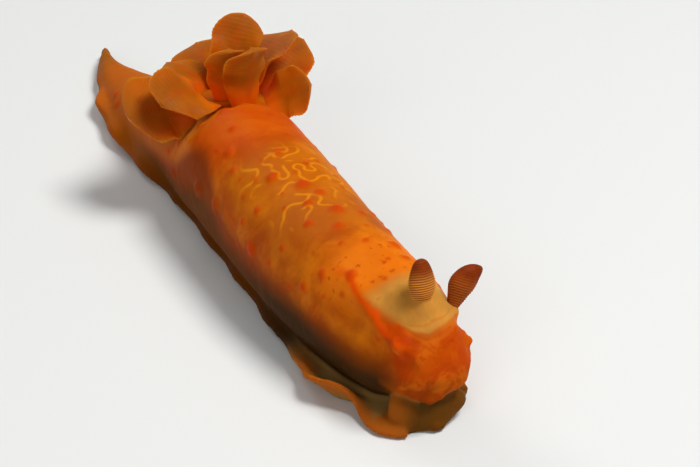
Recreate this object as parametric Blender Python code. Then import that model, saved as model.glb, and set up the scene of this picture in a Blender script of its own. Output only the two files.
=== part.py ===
# An orange spotted sea slug of the genus Gymnodoris, crawling, at life size.
# Sizes are in millimetres and turned into metres as each mesh is made.
# The head points along -Y, the animal's right side is -X, and the sole lies at z = 0.

import math
import random

import bmesh
import bpy
from mathutils import Matrix, Vector

MM = 0.001
GAP = 0.3  # clearance between two pieces that meet

# The body's outline: each profile is a value at a few places along Y, joined smoothly.
CREST = ((-35.0, 4.6), (-34.8, 5.6), (-34.2, 6.8), (-33, 8.1), (-31, 9.4), (-28, 10.1), (-22, 10.5),
         (-16, 10.8), (-8, 11.2), (-3.4, 11.4), (0.5, 9.4), (4, 8.7), (9, 7.7), (15, 5.9), (22, 3.6),
         (29, 2.4), (34.6, 1.8))
BELLY = ((-35.0, 4.0), (-34.8, 3.3), (-34.2, 2.5), (-33, 1.8), (-30, 1.3), (-26, 1.2), (34.6, 1.2))
HALF_WIDTH = ((-35.0, 0.9), (-34.8, 1.45), (-34.2, 2.0), (-33.3, 2.4), (-32, 2.55), (-31, 2.9), (-30, 3.35),
              (-28, 3.85), (-24, 4.4), (-18, 4.9), (-10, 5.1), (-2, 5.1), (8, 4.9), (15, 4.0), (22, 2.6),
              (29, 1.1), (34.6, 0.3))
SPINE_X = ((-35.0, 1.25), (-33.3, 1.12), (-32, 0.88), (-31, 0.65), (-30, 0.5), (-28, 0.25), (-24, -0.1),
           (-18, -0.4), (-4, -0.4), (6, -0.1), (15, -0.5), (22, -1.2), (28, -1.7), (32, -1.2), (34.6, -0.5))
ROLL = ((-35.0, 20.0), (-30, 18.0), (-22, 6.0), (-12, 0.0), (34.6, 0.0))  # degrees, towards the left side
BODY_SIDES = 28
SECTION_STEP = 1.5
VEIL_STEP = 0.5
BELLY_FLATNESS = 0.62  # under 1 squares the underside off
SLOPE_STEP = (0.2, 2.0)  # along Y and in degrees, for finding which way the skin faces

# The body's lengths, from nose to tail, with a cut of GAP between them.
BODY_CUTS = (("oral_veil", -35.0, -32.4), ("head", -32.4, -27.0), ("neck", -27.0, -17.5),
             ("back_front", -17.5, -3.6), ("back_gills", -3.6, 9.5), ("back_rear", 9.5, 21.0),
             ("tail", 21.0, 34.6))

# A fold runs back from the veil along each upper side of the head.
FOLD_ANGLE = ((-35.0, 72.0), (-33, 62.0), (-28, 38.0), (34.6, 38.0))  # degrees out from the crest
FOLD_SPREAD = 11.0
FOLD_HEIGHT = ((-35.0, 0.1), (-34, 0.35), (-31, 0.5), (-28, 0.35), (-25, 0.0), (34.6, 0.0))

# The foot: a thin sheet, flat along the sole and waved along its two margins.
SOLE_THICK = 0.9
MARGIN_THICK = 0.5
SOLE_SHARE = 0.62  # the share of the half width that lies flat
FOOT_RIGHT = ((-35.1, 0.9), (-34.8, 2.2), (-34.2, 3.1), (-33.4, 3.8), (-32.4, 4.05), (-30.7, 4.1),
              (-30.0, 4.5), (-29.1, 5.3), (-28.1, 6.2), (-27.2, 6.3), (-25.5, 5.6), (-23, 5.2), (-18, 4.8),
              (-10, 4.5), (0, 4.5), (8, 4.9), (15, 5.2), (22, 4.0), (25, 2.7), (28, 1.7), (32, 0.9),
              (35, 0.25))
FOOT_LEFT = ((-35.1, 0.8), (-34.4, 1.9), (-33.4, 3.2), (-32.1, 4.2), (-28, 4.6), (-20, 5.2), (-10, 5.0),
             (0, 5.0), (8, 5.1), (15, 4.6), (22, 3.2), (25, 2.2), (28, 1.5), (32, 0.9), (35, 0.25))
LIFT_RIGHT = ((-35.1, 0.05), (-33, 0.1), (-31.6, 0.3), (-30.7, 0.8), (-29.8, 1.5), (-28.3, 1.9), (-26, 1.1),
              (-23, 0.5), (-19, 0.1), (-10, 0.0), (8, 0.0), (14, 0.6), (21, 0.9), (27, 0.7), (32, 0.2),
              (35, 0.1))
LIFT_LEFT = ((-35.1, 0.1), (-34, 0.9), (-31, 0.6), (-27, 1.3), (-22, 0.5), (-17, 0.1), (-10, 0.0),
             (8, 0.0), (14, 0.5), (21, 0.8), (27, 0.6), (32, 0.2), (35, 0.1))
FOOT_X = ((-35.1, 0.5), (-30, 0.4), (-24, 0.1), (-12, 0.0), (5, 0.1), (15, -0.4), (22, -1.2), (28, -1.7),
          (32, -1.2), (35, -0.4))
MARGIN_WAVE = (0.22, 0.16)  # how far the margins swing in and out, and up
WAVE_LENGTH = 6.7
WAVE_REGION = (-30.0, 28.0)
FRONT_NOTCH = (-0.42, 0.28, 0.9)  # where across the foot, how wide and how deep the front edge draws back
NOTCH_REACH = 4.0
FOOT_CUTS = (("foot_front", -35.1, -23.0), ("foot_middle", -23.0, 10.0), ("foot_rear", 10.0, 35.0))
FOOT_COLUMNS = 10
FOOT_STEP = 1.8

# The thick lobes along the foot's front edge, under the mouth: centre, radii and pitch in degrees.
LOBES = (((1.1, -33.5, 0.8), (2.4, 1.3, 0.6), 12.0), ((-1.5, -33.4, 0.9), (0.7, 1.2, 0.65), -10.0))

# Two rounded lips below the veil: centre and radii.
LIPS = (((0.6, -33.65, 3.8), (1.8, 1.0, 1.2)), ((2.4, -33.45, 4.1), (1.2, 0.9, 1.2)))

# The feeler at each corner of the veil.
FEELER_ANGLE = 73.0
FEELER_Y = -32.9
FEELER_LENGTH = 0.6
FEELER_RADIUS = 0.8
FEELER_TIP = 0.18  # the tip's size as a share of the root's
FEELER_FLATNESS = 0.7
FEELER_TURN = (0.25, -0.2, 0.45)  # outwards, forwards and up at the tip
FEELER_CLEAR = 0.1
FEELER_ROWS = 6
FEELER_SIDES = 10

# Rhinophores: a short stalk and a flattened club.
RHINO_LENGTH = 3.4
STALK_LENGTH = 0.4
STALK_RADIUS = 0.5
CLUB_HALF_WIDTH = 0.88
CLUB_HALF_THICK = 0.62
CLUB_SIDES = 12
LAMELLAE = 11
LAMELLA_RISE = 0.1
LAMELLAE_REACH = 0.8  # the share of the club that they ring, from the stalk up
TIP_RINGS = 4
CLUB_FOOT = 0.55  # the club's width just over the stalk, as a share of its widest
CLUB_WIDEST = 0.45  # how far up the club is widest
CLUB_BLUNTNESS = 0.62  # over 0.55, the tip stays wide
RHINOPHORES = (
    # name, angle from the crest, place along Y, lean sideways and back for each unit up
    ("rhinophore_right", -23.0, -31.85, 0.0, 0.15),
    ("rhinophore_left", 42.0, -31.2, 0.8, 0.2),
)

# Gills: plumes in a ring round the vent, curved like petals so that each lies clear of the next.
GILL_CENTRE = (0.5, 3.9)
GILLS = (
    # azimuth from +X towards +Y, ring radius, length, lean at the root and at the tip, half width, twist
    (-25, 3.3, 4.6, 60, 62, 2.5, 30),
    (13, 2.3, 7.2, 16, 79, 3.0, -14),
    (24, 3.3, 7.5, 51, 79, 2.5, 23),
    (45, 1.3, 7.1, 4, 62, 2.2, 12),
    (84, 3.3, 5.7, 60, 84, 2.8, -13),
    (123, 2.0, 4.6, 28, 105, 2.3, 9),
    (184, 3.3, 5.5, 60, 111, 3.3, -28),
    (206, 2.3, 5.8, 28, 112, 2.6, -30),
    (265, 1.5, 5.0, 6, 15, 1.9, 1),
    (288, 3.1, 5.4, 0, 21, 2.2, 0),
)
PLUME_THICK = 0.5
PLUME_BRANCHES = 7  # side branches on each side, drawn as ribs that end in teeth along the margin
RIB_RISE = 0.12
TOOTH_DEPTH = 0.2  # how far the margin draws back between two branches, as a share of the half width
BRANCH_SLANT = 0.16  # how far a branch's tip lies ahead of its root, as a share of what is left of the plume
MIDRIB_RISE = 0.3
PLUME_COLUMNS = 4
PLUME_ROOT = 0.26  # the stalk's width as a share of the widest
WIDEST = 0.6  # how far along the plume is widest
LINE_STEPS = 24

VENT_RADIUS = 0.7
VENT_HEIGHT = 1.3
VENT_TAPER = 0.35
VENT_ROWS = 4
VENT_SIDES = 12

# Low round pustules, scattered over the back and the head.
PUSTULE_SEED = 7
PUSTULE_TRIES = 900
PUSTULE_LIMIT = 64
PUSTULE_SPACING = 2.5
PUSTULE_RADII = (0.42, 0.62)  # smallest and largest
PUSTULE_HEIGHT = 0.42  # as a share of the radius
PUSTULE_SINK = 0.25  # how far the middle lies under the skin, as a share of the radius
PUSTULE_REGION = (-34.0, 19.0)
PUSTULE_ANGLE = 104.0
PUSTULE_RINGS = 4
PUSTULE_SIDES = 7
CUT_CLEAR = 0.85
BARE_HEAD = (-33.4, -29.4)  # the smooth skin round the rhinophores, between the two folds
FOLD_CLEAR = 8.0
GILL_CLEAR = 5.2
GILL_SIDE_ANGLE = 75.0  # pustules stand under the gills only this far out from the crest

# Colours, and how dull and how sharply creased every surface is.
SKIN = (0.85, 0.27, 0.03)
RHINO = (0.52, 0.13, 0.02)
GILL = (0.60, 0.17, 0.02)
ROUGHNESS = 0.35
CREASE_ANGLE = 50.0


def smooth_profile(knots):
    """A function through the knots that never swings past them."""
    places = [knot[0] for knot in knots]
    values = [knot[1] for knot in knots]
    steps = [(values[i + 1] - values[i]) / (places[i + 1] - places[i]) for i in range(len(knots) - 1)]
    slopes = [0.0] * len(knots)
    for i in range(1, len(knots) - 1):
        before, after = steps[i - 1], steps[i]
        slopes[i] = 0.0 if before * after <= 0 else 2 * before * after / (before + after)

    def value(y):
        if y <= places[0]:
            return values[0]
        if y >= places[-1]:
            return values[-1]
        i = max(k for k in range(len(places) - 1) if places[k] <= y)
        span = places[i + 1] - places[i]
        t = (y - places[i]) / span
        ease = t * t * (3 - 2 * t)
        lead = t * (1 - t) * (1 - t) * span * slopes[i]
        trail = t * t * (t - 1) * span * slopes[i + 1]
        return values[i] * (1 - ease) + values[i + 1] * ease + lead + trail

    return value


crest = smooth_profile(CREST)
belly = smooth_profile(BELLY)
half_width = smooth_profile(HALF_WIDTH)
spine_x = smooth_profile(SPINE_X)
roll = smooth_profile(ROLL)
fold_angle = smooth_profile(FOLD_ANGLE)
fold_height = smooth_profile(FOLD_HEIGHT)
foot_right = smooth_profile(FOOT_RIGHT)
foot_left = smooth_profile(FOOT_LEFT)
lift_right = smooth_profile(LIFT_RIGHT)
lift_left = smooth_profile(LIFT_LEFT)
foot_x = smooth_profile(FOOT_X)


def signed_power(value, power):
    return math.copysign(abs(value) ** power, value)


def body_point(y, angle):
    """The body's skin at this place along it, at an angle in degrees from the crest towards the left."""
    turn = math.radians(angle)
    sideways, up = math.sin(turn), math.cos(turn)
    reach = half_width(y)
    middle = (crest(y) + belly(y)) / 2
    height = crest(y) - middle
    if up < 0:
        sideways = signed_power(sideways, BELLY_FLATNESS)
        up = signed_power(up, BELLY_FLATNESS)
    off = (abs(angle) - fold_angle(y)) / FOLD_SPREAD
    swell = 1 + fold_height(y) * math.exp(-off * off) / reach
    local = Vector((sideways * reach * swell, up * height * swell))
    tilt = math.radians(roll(y))
    x = spine_x(y) + local.x * math.cos(tilt) + local.y * math.sin(tilt)
    z = middle - local.x * math.sin(tilt) + local.y * math.cos(tilt)
    return Vector((x, y, max(z, SOLE_THICK + GAP)))


def body_normal(y, angle):
    """The way the skin faces there."""
    step, turn = SLOPE_STEP
    along = body_point(y + step, angle) - body_point(y - step, angle)
    across = body_point(y, angle + turn) - body_point(y, angle - turn)
    return across.cross(along).normalized()


def back_height(x, y):
    """The height of the unrolled back over a point."""
    middle = (crest(y) + belly(y)) / 2
    share = min(1.0, abs(x - spine_x(y)) / half_width(y))
    return middle + (crest(y) - middle) * math.sqrt(1 - share * share)


def ring_faces(rows, sides):
    """Triangles of a closed tube of rings, with its two ends closed."""
    faces = []
    for row in range(rows - 1):
        for side in range(sides):
            a = row * sides + side
            b = row * sides + (side + 1) % sides
            faces += [(a, b, b + sides), (a, b + sides, a + sides)]
    faces.append(tuple(reversed(range(sides))))
    faces.append(tuple(range((rows - 1) * sides, rows * sides)))
    return faces


def add_solid(name, points, faces, colour):
    """One closed mesh object in a finish of its own, its faces turned outwards."""
    mesh = bpy.data.meshes.new(name)
    mesh.from_pydata([Vector(point) * MM for point in points], [], faces)
    work = bmesh.new()
    work.from_mesh(mesh)
    bmesh.ops.recalc_face_normals(work, faces=work.faces)
    work.to_mesh(mesh)
    work.free()
    mesh.shade_smooth()
    mesh.set_sharp_from_angle(angle=math.radians(CREASE_ANGLE))
    mesh.materials.append(finish(name, colour))
    solid = bpy.data.objects.new(name, mesh)
    bpy.context.scene.collection.objects.link(solid)
    return solid


def finish(name, colour):
    made = bpy.data.materials.new(name)
    made.use_nodes = True
    shader = made.node_tree.nodes["Principled BSDF"]
    shader.inputs["Base Color"].default_value = (*colour, 1)
    shader.inputs["Roughness"].default_value = ROUGHNESS
    shader.inputs["Metallic"].default_value = 0
    return made


def ellipsoid(centre, radii, turn=None, rings=8, sides=16):
    """Points and triangles of a closed ellipsoid."""
    turn = turn or Matrix.Identity(3)
    points = [Vector(centre) + turn @ Vector((0, 0, -radii[2]))]
    for ring in range(1, rings):
        tilt = math.pi * ring / rings
        for side in range(sides):
            around = math.tau * side / sides
            local = Vector((radii[0] * math.sin(tilt) * math.cos(around),
                            radii[1] * math.sin(tilt) * math.sin(around),
                            -radii[2] * math.cos(tilt)))
            points.append(Vector(centre) + turn @ local)
    points.append(Vector(centre) + turn @ Vector((0, 0, radii[2])))
    faces = []
    for side in range(sides):
        after = (side + 1) % sides
        faces.append((0, 1 + after, 1 + side))
        last = 1 + (rings - 2) * sides
        faces.append((len(points) - 1, last + side, last + after))
        for ring in range(rings - 2):
            a, b = 1 + ring * sides + side, 1 + ring * sides + after
            faces += [(a, b, b + sides), (a, b + sides, a + sides)]
    return points, faces


def join(solid, pieces):
    """Unites closed pieces with a solid, and keeps the one closed surface."""
    group = bpy.data.collections.new(solid.name + "_pieces")
    bpy.context.scene.collection.children.link(group)
    for number, (points, faces) in enumerate(pieces):
        piece = add_solid(f"{solid.name}_piece_{number}", points, faces, SKIN)
        piece.data.materials.clear()
        bpy.context.scene.collection.objects.unlink(piece)
        group.objects.link(piece)
    union = solid.modifiers.new("union", "BOOLEAN")
    union.operation = "UNION"
    union.operand_type = "COLLECTION"
    union.collection = group
    union.solver = "EXACT"
    apply_modifiers(solid)
    for piece in list(group.objects):
        bpy.data.objects.remove(piece)
    bpy.data.collections.remove(group)
    keep_largest(solid)


def apply_modifiers(solid):
    graph = bpy.context.evaluated_depsgraph_get()
    made = bpy.data.meshes.new_from_object(solid.evaluated_get(graph))
    solid.modifiers.clear()
    solid.data = made


def keep_largest(solid):
    """Drops every closed surface but the largest."""
    work = bmesh.new()
    work.from_mesh(solid.data)
    left = set(work.verts)
    groups = []
    while left:
        group = set()
        waiting = [left.pop()]
        while waiting:
            vertex = waiting.pop()
            group.add(vertex)
            fresh = [edge.other_vert(vertex) for edge in vertex.link_edges if edge.other_vert(vertex) in left]
            left.difference_update(fresh)
            waiting += fresh
        groups.append(group)
    groups.sort(key=len)
    for group in groups[:-1]:
        bmesh.ops.delete(work, geom=list(group), context="VERTS")
    work.to_mesh(solid.data)
    work.free()


def places_between(start, end, step):
    count = max(2, math.ceil((end - start) / step) + 1)
    return [start + (end - start) * i / (count - 1) for i in range(count)]


def make_body():
    """The body's lengths, cut square across with a thin gap at each cut."""
    made = {}
    for name, start, end in BODY_CUTS:
        first = start + (GAP / 2 if start > CREST[0][0] else 0)
        last = end - (GAP / 2 if end < CREST[-1][0] else 0)
        rows = places_between(first, last, VEIL_STEP if name == "oral_veil" else SECTION_STEP)
        points = [body_point(y, 360 * side / BODY_SIDES - 180) for y in rows for side in range(BODY_SIDES)]
        made[name] = add_solid(name, points, ring_faces(len(rows), BODY_SIDES), SKIN)
    return made


def add_lips(veil):
    join(veil, [ellipsoid(centre, radii) for centre, radii in LIPS])


def scatter_pustules():
    """Places (y, angle, radius, point) on the skin, none near a cut, a rhinophore, the gills or another."""
    dice = random.Random(PUSTULE_SEED)
    kept = []
    for attempt in range(PUSTULE_TRIES):
        y = dice.uniform(*PUSTULE_REGION)
        angle = dice.uniform(-PUSTULE_ANGLE, PUSTULE_ANGLE)
        radius = dice.uniform(*PUSTULE_RADII)
        point = body_point(y, angle)
        near_cut = any(abs(y - end) < CUT_CLEAR for name, start, end in BODY_CUTS)
        on_bare_head = BARE_HEAD[0] < y < BARE_HEAD[1] and abs(angle) < fold_angle(y) - FOLD_CLEAR
        from_vent = math.hypot(point.x - GILL_CENTRE[0], point.y - GILL_CENTRE[1])
        by_gills = from_vent < GILL_CLEAR and abs(angle) < GILL_SIDE_ANGLE
        crowded = any((point - other[3]).length < PUSTULE_SPACING for other in kept)
        if not (near_cut or on_bare_head or by_gills or crowded):
            kept.append((y, angle, radius, point))
    return kept[:PUSTULE_LIMIT]


def add_pustules(body):
    """Unites the pustules with the lengths of the body that they stand on."""
    places = scatter_pustules()
    for name, start, end in BODY_CUTS:
        domes = []
        for y, angle, radius, point in places:
            if start < y < end:
                normal = body_normal(y, angle)
                along, wide, thin = frame_along(normal, Vector((0, 1, 0)))
                turn = Matrix((wide, thin, along)).transposed()
                centre = point - normal * radius * PUSTULE_SINK
                radii = (radius, radius, radius * (PUSTULE_HEIGHT + PUSTULE_SINK))
                domes.append(ellipsoid(centre, radii, turn, PUSTULE_RINGS, PUSTULE_SIDES))
        if domes:
            join(body[name], domes)


def foot_point(y, share, on_top):
    """The foot's sheet: share runs from -1 at the right margin to 1 at the left."""
    side = -1 if share < 0 else 1
    reach = foot_right(y) if side < 0 else foot_left(y)
    lift = lift_right(y) if side < 0 else lift_left(y)
    edge = max(0.0, abs(share) - SOLE_SHARE) / (1 - SOLE_SHARE)
    rise = edge * edge * (3 - 2 * edge)
    thick = SOLE_THICK + (MARGIN_THICK - SOLE_THICK) * rise
    if WAVE_REGION[0] < y < WAVE_REGION[1]:
        wave = math.sin(math.tau * y / WAVE_LENGTH + side)
        reach += MARGIN_WAVE[0] * wave * rise
        lift += MARGIN_WAVE[1] * (1 + wave)
    centre, spread, depth = FRONT_NOTCH
    off = (share - centre) / spread
    nearness = max(0.0, 1 - (y - FOOT_CUTS[0][1]) / NOTCH_REACH)
    draw_back = depth * math.exp(-off * off) * nearness
    return Vector((foot_x(y) + share * reach, y + draw_back, lift * rise + (thick if on_top else 0)))


def make_foot():
    made = {}
    for name, start, end in FOOT_CUTS:
        first = start + (GAP / 2 if start > FOOT_CUTS[0][1] else 0)
        last = end - (GAP / 2 if end < FOOT_CUTS[-1][2] else 0)
        rows = places_between(first, last, FOOT_STEP)
        shares = [-1 + 2 * i / FOOT_COLUMNS for i in range(FOOT_COLUMNS + 1)]
        loop = [(share, False) for share in shares] + [(share, True) for share in reversed(shares)]
        points = [foot_point(y, share, on_top) for y in rows for share, on_top in loop]
        made[name] = add_solid(name, points, sheet_faces(len(rows), FOOT_COLUMNS), SKIN)
    return made


def sheet_faces(rows, columns):
    """A flat tube's triangles, split alike on its two faces."""
    wide = columns + 1
    around = 2 * wide
    faces = []
    for row in range(rows - 1):
        base, after = row * around, (row + 1) * around
        for column in range(columns):
            low, high = base + column, base + around - 1 - column
            low_on, high_on = after + column, after + around - 1 - column
            faces += [(low, low + 1, low_on + 1), (low, low_on + 1, low_on)]
            faces += [(high, high_on - 1, high - 1), (high, high_on, high_on - 1)]
        faces += [(base, after, after + around - 1), (base, after + around - 1, base + around - 1)]
        last = base + columns
        last_on = after + columns
        faces += [(last, last + 1, last_on + 1), (last, last_on + 1, last_on)]
    for base in (0, (rows - 1) * around):
        for column in range(columns):
            low, high = base + column, base + around - 1 - column
            faces += [(low, high, high - 1), (low, high - 1, low + 1)]
    return faces


def add_lobes(foot_front):
    pieces = []
    for centre, radii, pitch in LOBES:
        turn = Matrix.Rotation(math.radians(pitch), 3, "X")
        pieces.append(ellipsoid(centre, radii, turn))
    join(foot_front, pieces)


def frame_along(direction, sideways):
    """Three square directions: along, sideways and the third."""
    along = direction.normalized()
    third = along.cross(sideways).normalized()
    return along, third.cross(along).normalized(), third


def make_rhinophore(name, angle, y, lean_side, lean_back):
    """A short stalk and a flattened club, standing on the head with a thin gap."""
    foot = body_point(y, angle)
    normal = body_normal(y, angle)
    axis = Vector((lean_side, lean_back, 1)).normalized()
    along, wide, thin = frame_along(axis, Vector((1, 0, 0)))
    root = foot + normal * GAP
    flat_along, flat_wide, flat_thin = frame_along(normal, wide)
    points = []
    for side_number in range(CLUB_SIDES):
        around = math.tau * side_number / CLUB_SIDES
        points.append(root + STALK_RADIUS * (flat_wide * math.cos(around) + flat_thin * math.sin(around)))
    rings = club_rings()
    for share, rise in rings:
        centre = root + along * (STALK_LENGTH + (RHINO_LENGTH - STALK_LENGTH) * share)
        half_wide = CLUB_HALF_WIDTH * club_fatness(share) + rise
        half_thick = CLUB_HALF_THICK * club_fatness(share) + rise
        for side_number in range(CLUB_SIDES):
            around = math.tau * side_number / CLUB_SIDES
            points.append(centre + wide * half_wide * math.cos(around) + thin * half_thick * math.sin(around))
    return add_solid(name, points, ring_faces(len(rings) + 1, CLUB_SIDES), RHINO)


def club_rings():
    """Each ring's share of the club's length and how far it stands out: a ridge for every lamella."""
    rings = []
    for number in range(LAMELLAE):
        rings.append((LAMELLAE_REACH * number / LAMELLAE, 0.0))
        rings.append((LAMELLAE_REACH * (number + 0.5) / LAMELLAE, LAMELLA_RISE))
    for number in range(TIP_RINGS):
        rings.append((LAMELLAE_REACH + (1 - LAMELLAE_REACH) * number / (TIP_RINGS - 1), 0.0))
    return rings


def club_fatness(share):
    """How wide the club is, as a share of its widest: narrow at the stalk, blunt at the tip."""
    if share < CLUB_WIDEST:
        return CLUB_FOOT + (1 - CLUB_FOOT) * math.sin(0.5 * math.pi * share / CLUB_WIDEST)
    past = (share - CLUB_WIDEST) / CLUB_BLUNTNESS
    return math.sqrt(1 - past * past)


def make_feeler(name, side):
    """A small pointed flap at the corner of the veil."""
    angle = FEELER_ANGLE * side
    normal = body_normal(FEELER_Y, angle)
    root = body_point(FEELER_Y, angle) + normal * (GAP + FEELER_CLEAR)
    along, wide, thin = frame_along(normal, Vector((0, 0, 1)))
    tip_turn = Vector((FEELER_TURN[0] * side, FEELER_TURN[1], FEELER_TURN[2]))
    points = []
    for row in range(FEELER_ROWS):
        share = row / (FEELER_ROWS - 1)
        centre = root + (along + tip_turn * share) * FEELER_LENGTH * share
        size = FEELER_RADIUS * (1 - (1 - FEELER_TIP) * share)
        for number in range(FEELER_SIDES):
            around = math.tau * number / FEELER_SIDES
            offset = wide * math.cos(around) + FEELER_FLATNESS * thin * math.sin(around)
            points.append(centre + size * offset)
    return add_solid(name, points, ring_faces(FEELER_ROWS, FEELER_SIDES), SKIN)


def plume_line(gill):
    """The plume's middle line as (out, up, lean) at even steps, measured from the ring's centre."""
    azimuth, out, length, lean_root, lean_tip, half_wide, twist = gill
    up = root_height(azimuth, out, PLUME_ROOT * half_wide)
    line = [(out, up, 0.0)]
    for step in range(LINE_STEPS):
        lean = math.radians(lean_root + (lean_tip - lean_root) * (step + 0.5) / LINE_STEPS)
        out += math.sin(lean) * length / LINE_STEPS
        up += math.cos(lean) * length / LINE_STEPS
        line.append((out, up, lean))
    return line


def root_height(azimuth, out, half_wide):
    """The height at which a root of this width just clears the back."""
    heights = []
    for around in (-1, 0, 1):
        turn = math.radians(azimuth) + around * half_wide / out
        for thick in (-PLUME_THICK, PLUME_THICK):
            radius = out + thick
            x, y = GILL_CENTRE[0] + radius * math.cos(turn), GILL_CENTRE[1] + radius * math.sin(turn)
            heights.append(back_height(x, y))
    return max(heights) + GAP


def along_line(line, share):
    place = share * (len(line) - 1)
    low = min(int(place), len(line) - 2)
    part = place - low
    return [line[low][i] * (1 - part) + line[low + 1][i] * part for i in range(3)]


def plume_width(share):
    """The plume's half width as a share of its widest: a stalk that opens into a rounded fan."""
    if share < WIDEST:
        return PLUME_ROOT + (1 - PLUME_ROOT) * math.sin(0.5 * math.pi * share / WIDEST)
    past = (share - WIDEST) / (1 - WIDEST)
    return math.sqrt(1 - 0.97 * past * past)


def make_plume(name, gill):
    """A leaf on its own cone round the vent, with a rib for every branch."""
    line = plume_line(gill)
    last_row = 2 * PLUME_BRANCHES
    points = []
    for row in range(last_row + 1):
        share = row / last_row
        on_rib = row % 2 == 1 or row == last_row
        for on_top in (False, True):
            columns = range(PLUME_COLUMNS + 1)
            for column in (reversed(columns) if on_top else columns):
                across = -1 + 2 * column / PLUME_COLUMNS
                points.append(plume_point(gill, line, share, across, on_rib, on_top))
    return add_solid(name, points, sheet_faces(last_row + 1, PLUME_COLUMNS), GILL)


def plume_point(gill, line, share, across, on_rib, on_top):
    from_middle = abs(across)
    along = share + BRANCH_SLANT * from_middle * (1 - share) * min(1.0, 3 * share)
    out, up, lean = along_line(line, along)
    reach = 1 if on_rib else 1 - TOOTH_DEPTH * from_middle
    wide = gill[5] * plume_width(share) * across * reach
    rise = MIDRIB_RISE * (1 - from_middle) + (RIB_RISE if on_rib else 0) * min(1.0, 3 * share)
    half = (PLUME_THICK / 2 + rise / 2) * (1 if on_top else -1)
    twist = math.radians(gill[6]) * min(1.0, 2 * share)
    inwards = half * math.cos(twist) + wide * math.sin(twist)
    sideways = wide * math.cos(twist) - half * math.sin(twist)
    radius = out - inwards * math.cos(lean)
    turn = math.radians(gill[0]) + sideways / out
    x, y = GILL_CENTRE[0] + radius * math.cos(turn), GILL_CENTRE[1] + radius * math.sin(turn)
    return Vector((x, y, up + inwards * math.sin(lean)))


def make_vent():
    """The low tube in the middle of the gills."""
    x, y = GILL_CENTRE
    base = back_height(x, y - VENT_RADIUS) + GAP
    points = []
    for row in range(VENT_ROWS):
        share = row / (VENT_ROWS - 1)
        size = VENT_RADIUS * (1 - VENT_TAPER * share)
        for number in range(VENT_SIDES):
            around = math.tau * number / VENT_SIDES
            offset = Vector((size * math.cos(around), size * math.sin(around), VENT_HEIGHT * share))
            points.append(Vector((x, y, base)) + offset)
    return add_solid("vent", points, ring_faces(VENT_ROWS, VENT_SIDES), SKIN)


def centre_on_base():
    """Moves everything together so that the origin is under the middle of the whole box."""
    solids = [o for o in bpy.context.scene.objects if o.type == "MESH"]
    corners = [vertex.co for solid in solids for vertex in solid.data.vertices]
    low = Vector([min(corner[axis] for corner in corners) for axis in range(3)])
    high = Vector([max(corner[axis] for corner in corners) for axis in range(3)])
    shift = Vector((-(low.x + high.x) / 2, -(low.y + high.y) / 2, -low.z))
    for solid in solids:
        solid.data.transform(Matrix.Translation(shift))
    print("centred by", [round(part / MM, 3) for part in shift])


def main():
    for old in list(bpy.data.objects):
        bpy.data.objects.remove(old)
    body = make_body()
    add_lips(body["oral_veil"])
    add_pustules(body)
    foot = make_foot()
    add_lobes(foot["foot_front"])
    for rhinophore in RHINOPHORES:
        make_rhinophore(*rhinophore)
    make_feeler("oral_feeler_right", -1)
    make_feeler("oral_feeler_left", 1)
    for number, gill in enumerate(GILLS, 1):
        make_plume(f"gill_{number}", gill)
    make_vent()
    centre_on_base()


main()
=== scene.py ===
# A crawling orange sea slug: one skin, two rhinophores and a ring of gills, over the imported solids.
# Shapes are worked out in millimetres along the animal and moved into the frame at the end.
import math

import bpy
import numpy as np
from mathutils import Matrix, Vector


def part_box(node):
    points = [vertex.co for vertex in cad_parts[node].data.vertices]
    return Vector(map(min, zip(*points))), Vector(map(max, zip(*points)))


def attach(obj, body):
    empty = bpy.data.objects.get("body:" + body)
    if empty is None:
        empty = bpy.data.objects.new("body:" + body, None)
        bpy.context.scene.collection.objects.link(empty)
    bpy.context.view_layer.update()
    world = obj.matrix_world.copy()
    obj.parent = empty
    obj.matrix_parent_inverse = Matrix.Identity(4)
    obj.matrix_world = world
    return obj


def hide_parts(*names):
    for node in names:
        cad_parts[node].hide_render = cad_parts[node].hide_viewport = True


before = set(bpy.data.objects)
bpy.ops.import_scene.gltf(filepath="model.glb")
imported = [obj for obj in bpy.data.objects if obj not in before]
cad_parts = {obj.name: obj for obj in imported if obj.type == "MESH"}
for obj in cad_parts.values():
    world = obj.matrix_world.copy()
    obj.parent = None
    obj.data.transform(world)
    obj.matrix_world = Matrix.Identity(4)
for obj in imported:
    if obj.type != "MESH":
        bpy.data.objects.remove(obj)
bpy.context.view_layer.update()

mm = 0.001
ventCentre = (0.5, 3.9)  # where the gills stand, before the solids were centred on their box
ventLow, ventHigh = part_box("vent")
shift = np.array([(ventLow.x + ventHigh.x) / 2 / mm - ventCentre[0],
                  (ventLow.y + ventHigh.y) / 2 / mm - ventCentre[1], 0.0])

fleshNodes = ["oral_veil", "head", "neck", "back_front", "back_gills", "back_rear", "tail", "foot_front",
              "foot_middle", "foot_rear", "oral_feeler_right", "oral_feeler_left", "vent"]


def toFrame(points):
    return (np.asarray(points, float) + shift) * mm


# helpers for meshes and node trees

def newMesh(name, points, faces, edges=()):
    mesh = bpy.data.meshes.new(name)
    mesh.from_pydata([tuple(point) for point in points], list(edges), [tuple(face) for face in faces])
    piece = bpy.data.objects.new(name, mesh)
    bpy.context.scene.collection.objects.link(piece)
    return piece


def bake(piece):
    # the evaluated result becomes a plain mesh and the modifiers go
    graph = bpy.context.evaluated_depsgraph_get()
    made = bpy.data.meshes.new_from_object(piece.evaluated_get(graph))
    made.name = piece.name
    piece.modifiers.clear()
    piece.data = made
    made.shade_smooth()


def setAttribute(piece, name, values):
    layer = piece.data.attributes.new(name, "FLOAT", "POINT")
    layer.data.foreach_set("value", np.asarray(values, np.float32))


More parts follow.
